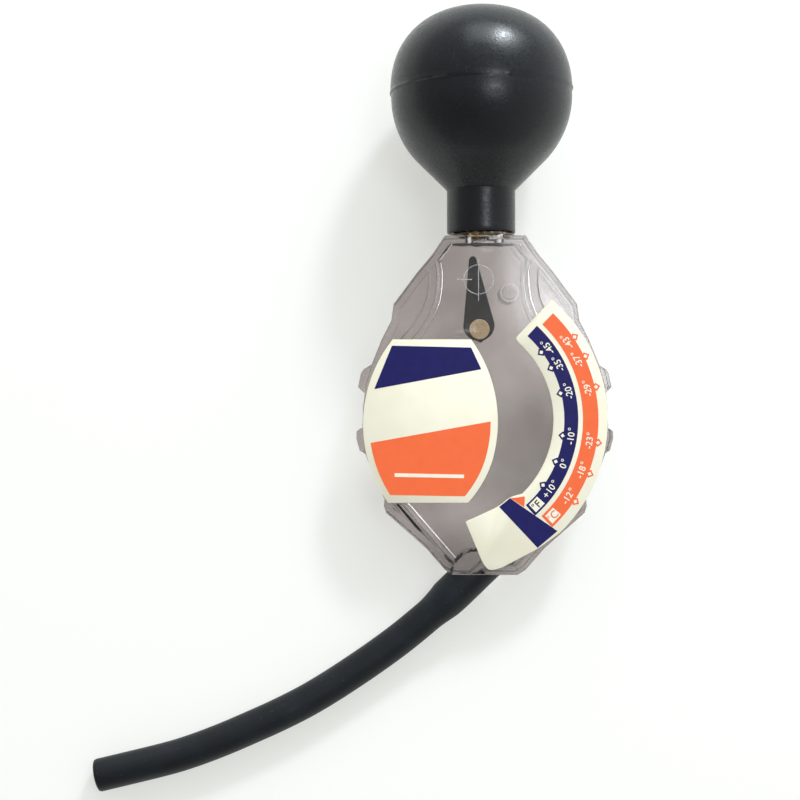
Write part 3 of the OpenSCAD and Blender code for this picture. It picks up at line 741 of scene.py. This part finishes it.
# labels
labelFace = housing["halfThickness"] + housing["labelThickness"]
ink = {"thickness": 0.03, "sink": 0.02, "raised": 0.02, "capHeight": 0.73, "bolder": 0.012,
       "degree": (0.24, 0.45), "degreeRise": 0.75, "degreeAway": 0.5}
nameLabel = {
    "left": -39.4, "right": 4.0, "leftRadius": 43.8, "rightRadius": 45.1, "leftY": 48.6, "rightY": 49.4,
    "low": 23.3, "high": 75.9, "tuck": 1.3, "tuckFrom": 38.0,
    "bluePanel": [(-30.1, 73.9), (-4.6, 73.3), (-1.3, 66.3), (-35.8, 59.9)], "blueCorner": 0.3,
    "orangePanel": {"leftIn": 2.0, "rightIn": 2.3, "top": ((-36.9, 42.6), (1.8, 49.5)),
                    "low": ((-30.7, 25.8), (-6.6, 25.4))},
    "rule": ((-29.2, 32.25), (-6.9, 31.8), 1.16),
}
scale = {
    "centre": (-11.2, 50.0), "outer": 50.6, "inner": 33.1, "topOuter": 50.0, "topInner": 51.6, "end": -46.0,
    "innerTop": {"free": 4, "out": 0.4, "along": 0.97, "radius": 2.4},
    "corners": [2.0, 2.0, 2.0, 2.0, 2.0, 0.5, 2.0, 2.0, 2.0],
    "endPanel": [(16.9, 8.5), (4.6, 2.1), (1.0, 1.5), (-0.9, 4.0), (-6.4, 17.2), (4.3, 22.1), (7.7, 25.1)],
    "legend": [(7.9, 24.8), (4.4, 22.0), (16.8, 8.8), (23.2, 14.2)],
    "flag": [(7.9, 24.9), (9.6, 24.95), (12.7, 25.4), (12.6, 23.4), (12.5, 21.9)],
    "fahrenheit": {"band": (36.6, 41.1), "top": 47.5, "end": -48.6, "marks": 36.4, "numbers": 39.0,
                   "box": (37.2, 40.5, -41.6, -47.3), "letter": "F", "values": [
                       (36.7, "-45"), (27.3, "-35"), (13.6, "-20"), (-8.0, "-10"), (-21.6, "0"),
                       (-35.2, "+10")]},
    "celsius": {"band": (42.6, 47.6), "top": 46.2, "end": -46.6, "marks": 48.0, "numbers": 45.1,
                "box": (43.4, 46.8, -40.6, -45.5), "letter": "C", "values": [
                    (33.8, "-43"), (25.3, "-37"), (12.8, "-29"), (-8.8, "-23"), (-21.2, "-18"),
                    (-33.2, "-12")]},
    "markHalf": (1.4, 0.7), "numberHeight": 2.2, "letterHeight": 2.5,
}


def labelPiece(name, outline, node):
    piece = platePiece(name, outline, housing["halfThickness"], labelFace, labelFilm, housing["labelEdge"])
    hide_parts(node)
    onHousing(piece)


def printed(name, outline, material, lift=0.0):
    # ink on the film: a closed plate a few hundredths of a millimetre thick, a little more where it covers
    # other ink
    low, high = labelFace - ink["sink"], labelFace + ink["thickness"] + lift
    onHousing(platePiece(name, outline, low, high, material))


def leftEdge(y, inside=0.0):
    # an arc: x from the height y, moved in by a distance
    r = nameLabel["leftRadius"]
    return nameLabel["left"] + r - np.sqrt((r - inside) ** 2 - (y - nameLabel["leftY"]) ** 2)


def rightEdge(y, inside=0.0):
    # the same on the right, drawn in towards the lower corner by the square of the way down
    r = nameLabel["rightRadius"]
    down = (nameLabel["tuckFrom"] - y) / (nameLabel["tuckFrom"] - nameLabel["low"])
    tuck = nameLabel["tuck"] * np.clip(down, 0, 1) ** 2
    return nameLabel["right"] - r + np.sqrt((r - inside) ** 2 - (y - nameLabel["rightY"]) ** 2) - tuck


def nameOutline():
    # two arcs, left and right, between two straight edges
    y = np.linspace(nameLabel["high"], nameLabel["low"], 48)
    return np.vstack([np.column_stack([leftEdge(y), y]), np.column_stack([rightEdge(y), y])[::-1]])


def orangePanel():
    # the sides run along the film's own edges
    facts = nameLabel["orangePanel"]
    (topLeft, topRight), (lowLeft, lowRight) = facts["top"], facts["low"]
    down = np.linspace(topRight[1], lowRight[1], 20)
    rise = np.linspace(lowLeft[1], topLeft[1], 20)
    right = np.column_stack([rightEdge(down, facts["rightIn"]), down])
    left = np.column_stack([leftEdge(rise, facts["leftIn"]), rise])
    return np.vstack([right, left])


def bar(start, end, width):
    # a straight rule between two points
    start, end = np.array(start, float), np.array(end, float)
    along = (end - start) / np.linalg.norm(end - start)
    side = np.array([-along[1], along[0]]) * width / 2
    return np.array([start - side, end - side, end + side, start + side])


labelPiece("name_film", nameOutline(), "name_label")
printed("blue_panel", roundCorners(nameLabel["bluePanel"], nameLabel["blueCorner"]), inkBlue)
printed("orange_panel", orangePanel(), inkOrange)
printed("cream_rule", bar(*nameLabel["rule"]), inkCream, lift=0.02)
print("name label made")


def scalePoint(radius, angle):
    a = np.radians(angle)
    return np.array(scale["centre"]) + radius * np.array([np.cos(a), np.sin(a)])


def scaleOutline():
    # outer arc, the end panel's corners, inner arc, and the upper edge with its inner corner rounded
    facts = scale["innerTop"]
    outer = arcPoints(scale["centre"], scale["outer"], scale["topOuter"], scale["end"], 80)
    inner = arcPoints(scale["centre"], scale["inner"], scale["end"], scale["topInner"] - facts["free"], 80)
    panel = roundCorners([outer[-1], *scale["endPanel"], inner[0]], scale["corners"], closed=False)
    corner = scalePoint(scale["inner"] + facts["out"], scale["topInner"])
    upper = scalePoint(scale["outer"], scale["topOuter"])
    top = [inner[-1], corner, corner + facts["along"] * (upper - corner)]
    top = roundCorners(top, facts["radius"], 8, closed=False)
    return np.vstack([outer, panel[1:-1], inner, top[1:]])


def arcBand(inner, outer, top, end):
    # an arc out and a smaller arc back
    return np.vstack([arcPoints(scale["centre"], outer, top, end, 90),
                      arcPoints(scale["centre"], inner, end, top, 90)])


def lettering(name, words, height, centre, angle, material, before=False):
    # figures as a flat mesh, with a small raised degree ring after or before them. They read up round the
    # scale: along is the way they read, and up points to the scale's centre
    a = np.radians(angle)
    along, up = np.array([-np.sin(a), np.cos(a)]), -np.array([np.cos(a), np.sin(a)])
    low, high = labelFace - ink["sink"], labelFace + ink["thickness"] + ink["raised"]
    curve = bpy.data.curves.new(name, "FONT")
    curve.body = words
    curve.offset = ink["bolder"]
    curve.extrude = 0.02  # any thickness will do, as the two sides are then set to low and high
    text = inScene(name, curve)
    bpy.context.view_layer.update()
    mesh = bpy.data.meshes.new_from_object(text.evaluated_get(bpy.context.evaluated_depsgraph_get()))
    bpy.data.objects.remove(text)
    co = np.zeros(len(mesh.vertices) * 3)
    mesh.vertices.foreach_get("co", co)
    co = co.reshape(-1, 3)
    capHeight = ink["capHeight"]  # share of the font's size that a figure takes
    flat = (co - (co.min(0) + co.max(0)) / 2) * height / capHeight
    flat[:, 1] = (co[:, 1] - capHeight / 2) * height / capHeight
    half = flat[:, 0].max()
    room = ink["degreeAway"] + ink["degree"][1]
    side = -1 if before else 1
    flat[:, 0] -= side * room / 2
    xy = np.asarray(centre) + flat[:, :1] * along + flat[:, 1:2] * up
    z = np.where(co[:, 2] > 0, high, low)
    mesh.vertices.foreach_set("co", place(np.column_stack([xy, z])).ravel())
    faceOutwards(mesh, dissolve=False)
    mesh.materials.clear()
    mesh.materials.append(material)
    onHousing(inScene(name, mesh))
    ringAt = np.asarray(centre) + side * (half + room / 2) * along + ink["degreeRise"] * up
    onHousing(flatRing(name + "_degree", ringAt, ink["degree"], low, high, material, 24))


def diamond(radius, angle, half):
    # a square on its corner
    turn = np.degrees(half / radius)
    return np.array([scalePoint(radius - half, angle), scalePoint(radius, angle - turn),
                     scalePoint(radius + half, angle), scalePoint(radius, angle + turn)])


def makeUnit(unit, facts, material):
    # a band with its marks and numbers, and the unit in a box at its lower end
    printed(unit + "_band", arcBand(*facts["band"], facts["top"], facts["end"]), material)
    for i, (angle, words) in enumerate(facts["values"]):
        markHalf, diamondHalf = scale["markHalf"]
        printed(f"{unit}_mark_{i}", diamond(facts["marks"], angle, markHalf), material, lift=0.01)
        printed(f"{unit}_diamond_{i}", diamond(facts["marks"], angle, diamondHalf), inkCream, lift=0.03)
        middle = scalePoint(facts["numbers"], angle)
        lettering(f"{unit}_number_{i}", words, scale["numberHeight"], middle, angle, inkCream)
    inner, outer, top, end = facts["box"]
    box = [scalePoint(inner, top), scalePoint(outer, top), scalePoint(outer, end), scalePoint(inner, end)]
    printed(unit + "_box", box, inkCream, lift=0.01)
    middle = scalePoint((inner + outer) / 2, (top + end) / 2)
    lettering(unit + "_unit", facts["letter"], scale["letterHeight"], middle, (top + end) / 2,
              inkOrange if unit == "celsius" else inkBlack, before=True)


def makeScale():
    labelPiece("scale_film", scaleOutline(), "scale_label")
    makeUnit("fahrenheit", scale["fahrenheit"], inkBlue)
    makeUnit("celsius", scale["celsius"], inkOrange)
    printed("legend_band", scale["legend"], inkBlue, lift=0.015)
    printed("orange_flag", scale["flag"], inkOrange, lift=0.01)


makeScale()
print("scale label made")

# level mark
levelMark = {"centre": (-2.19, 95.24), "radius": 4.73, "line": 0.24, "height": 0.1, "sink": 0.02,
             "low": 88.4, "high": 102.0, "arm": (-9.1, -4.3)}


def bead(name, path, closed=False):
    # a low half-round bead along a path on the face
    path = np.asarray(path, float)
    chord = np.roll(path, -1, 0) - np.roll(path, 1, 0) if closed else np.gradient(path, axis=0)
    normal = np.column_stack([-chord[:, 1], chord[:, 0]])
    normal /= np.linalg.norm(normal, axis=1)[:, None]
    a = np.linspace(0, np.pi, 7)
    across, rise = np.cos(a) * levelMark["line"] / 2, np.sin(a) * levelMark["height"]
    xy = path[:, None] + across[None, :, None] * normal[:, None]
    z = np.broadcast_to(housing["halfThickness"] - levelMark["sink"] + rise, xy.shape[:2])
    grid = np.concatenate([xy, z[..., None]], -1)
    piece = gridPiece(name, grid, markPlastic, wrapRows=closed, wrapColumns=True, caps=not closed)
    onHousing(piece)


def makeLevelMark():
    x, y = levelMark["centre"]
    bead("level_ring", arcPoints((x, y), levelMark["radius"], 0, 360, 73)[:-1], closed=True)
    bead("level_upright", [(x, levelMark["low"]), (x, levelMark["high"])])
    bead("level_arm", [(levelMark["arm"][0], y), (levelMark["arm"][1], y)])


makeLevelMark()
print("level mark made")

# floor and light
studio = {
    "floor": "#fdfef9", "floorDark": "#fcfdf8", "floorRadius": 4.0, "floorSides": 96, "glow": 0.52,
    "glowThrough": 0.25, "horizon": 0.68, "zenith": 0.46, "zenithFrom": 0.8, "lean": (0.16, 0.22, 0.0),
    "lampTint": (0.88, 0.95, 1.0),
    "lamps": {
        "core": {"shape": "ELLIPSE", "place": (406, 1182, 530), "size": (0.2, 0.2), "power": 10.5,
                 "aim": (4, 169, 27), "throughPlastic": False},
        "window": {"shape": "RECTANGLE", "place": (330, 1435, 655), "size": (1.5, 0.8), "power": 11.0,
                   "aim": (4, 169, 27), "throughPlastic": True},
        "softbox": {"shape": "ELLIPSE", "place": (196, 202, 900), "size": (0.274, 0.262), "power": 0.43,
                    "aim": (50, 107, 9), "throughPlastic": True},
        "side_softbox": {"shape": "ELLIPSE", "place": (262, 192, 900), "size": (0.297, 0.342), "power": 0.88,
                         "aim": (74, 104, 9), "throughPlastic": True},
    },
}


def makeFloor():
    # matt pale paper. Seen straight or mirrored it is about half lit from within, and seen through the
    # housing a quarter, so that its shadows stay faint
    material, tree, onPiece = newMaterial("pale_studio_floor")
    clouds = addNode(tree, "TexNoise", {}, {"Scale": perMetre(300), "Detail": 2}, onPiece)
    tone = addNode(tree, "ValToRGB", {}, {}, {"Fac": (clouds, "Fac")},
                   [(0.3, studio["floorDark"]), (0.7, studio["floor"])])
    paper = addNode(tree, "BsdfPrincipled", {}, {"Roughness": 0.9, "Specular IOR Level": 0.1},
                    {"Base Color": (tone, "Color")})
    glow = addNode(tree, "Emission", {}, {"Color": linear(studio["floor"]), "Strength": 1.0})
    path = addNode(tree, "LightPath")
    seen = addNode(tree, "Math", {"operation": "MAXIMUM"}, {},
                   {0: (path, "Is Camera Ray"), 1: (path, "Is Glossy Ray")})
    share = addNode(tree, "Math", {"operation": "MULTIPLY"}, {1: studio["glow"]}, {0: (seen, 0)})
    through = addNode(tree, "Math", {"operation": "MULTIPLY"}, {1: studio["glowThrough"]},
                      {0: (path, "Is Transmission Ray")})
    most = addNode(tree, "Math", {"operation": "MAXIMUM"}, {}, {0: (share, 0), 1: (through, 0)})
    mix = addNode(tree, "MixShader", {}, {}, {0: (most, 0), 1: (paper, "BSDF"), 2: (glow, "Emission")})
    addNode(tree, "OutputMaterial", links={"Surface": (mix, "Shader")})
    sides = studio["floorSides"]
    a = np.linspace(0, 2 * np.pi, sides, endpoint=False)
    rim = np.column_stack([np.cos(a), np.sin(a), 0 * a]) * studio["floorRadius"]
    mesh = bpy.data.meshes.new("floor")
    mesh.from_pydata(rim.tolist(), [], [list(range(sides))])
    mesh.materials.append(material)
    inScene("floor", mesh)


def makeLamp(name, facts):
    data = bpy.data.lights.new(name, "AREA")
    data.shape = facts["shape"]
    data.size, data.size_y = facts["size"]
    data.energy = facts["power"]
    data.color = studio["lampTint"]
    lamp = inScene(name, data)
    here, target = place([facts["place"], facts["aim"]])
    turned = Vector((here - target).tolist()).to_track_quat("Z", "Y").to_matrix().to_4x4()
    lamp.matrix_world = Matrix.Translation(here.tolist()) @ turned
    lamp.visible_transmission = facts["throughPlastic"]  # the small lamp would make sparks in the clear edges


def makeWorld():
    # a white room: bright at the horizon, dimmer overhead, and lighter on the side of the window; the camera
    # sees it plain white
    world = bpy.data.worlds.new("white_room")
    bpy.context.scene.world = world
    world.use_nodes = True
    tree = world.node_tree
    tree.nodes.clear()
    where = addNode(tree, "TexCoord")
    split = addNode(tree, "SeparateXYZ", {}, {}, {"Vector": (where, "Generated")})
    level = addNode(tree, "MapRange", {},
                    {"From Min": 0.0, "From Max": studio["zenithFrom"], "To Min": studio["horizon"],
                     "To Max": studio["zenith"]}, {"Value": (split, "Z")})
    lean = addNode(tree, "VectorMath", {"operation": "DOT_PRODUCT"}, {1: studio["lean"]},
                   {0: (where, "Generated")})
    total = addNode(tree, "Math", {"operation": "ADD"}, {}, {0: (level, "Result"), 1: (lean, "Value")})
    lit = addNode(tree, "Background", {}, {"Color": (1.0, 1.0, 1.0, 1.0)}, {"Strength": (total, 0)})
    plain = addNode(tree, "Background", {}, {"Color": linear(studio["floor"]), "Strength": 1.0})
    path = addNode(tree, "LightPath")
    back = addNode(tree, "MixShader", {}, {},
                   {0: (path, "Is Camera Ray"), 1: (lit, "Background"), 2: (plain, "Background")})
    addNode(tree, "OutputWorld", links={"Surface": (back, "Shader")})


makeFloor()
makeWorld()
for lampName, lampFacts in studio["lamps"].items():
    makeLamp(lampName, lampFacts)
bpy.context.scene.view_settings.view_transform = "Standard"
print("studio made")
